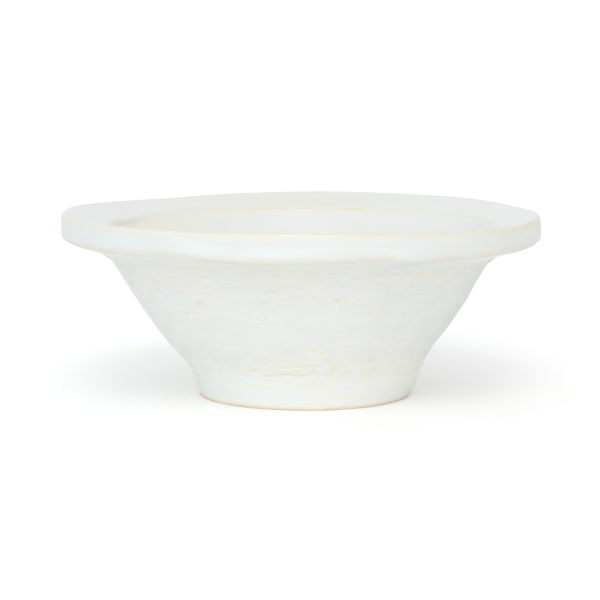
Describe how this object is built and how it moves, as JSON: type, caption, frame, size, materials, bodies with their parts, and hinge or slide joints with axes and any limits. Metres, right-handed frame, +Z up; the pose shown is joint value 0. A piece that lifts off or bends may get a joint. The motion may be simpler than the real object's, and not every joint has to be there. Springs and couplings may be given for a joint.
{
  "type": "berry bowl",
  "caption": "Hand-built white stoneware bowl with a wide dished rim, a leaning rough wall and a short foot ring, for serving berries and other small food.",
  "frame": {"origin": "on the rim's upright axis, on the surface the bowl stands on", "axes": "+Z up along the rim's turning axis; +X to the right and +Y away from the viewer in the picture"},
  "size_m": [0.18, 0.18, 0.068],
  "materials": {
    "white_glaze": "satin white glaze that breaks amber on edges and in pits",
    "foot_glaze": "the same satin white glaze, wiped off to bare buff clay at the lowest edge and underneath"
  },
  "bodies": {
    "root": {"rim_flange": "white_glaze", "bowl_wall": "white_glaze", "floor_disc": "white_glaze", "foot_ring": "foot_glaze"}
  },
  "joints": []
}
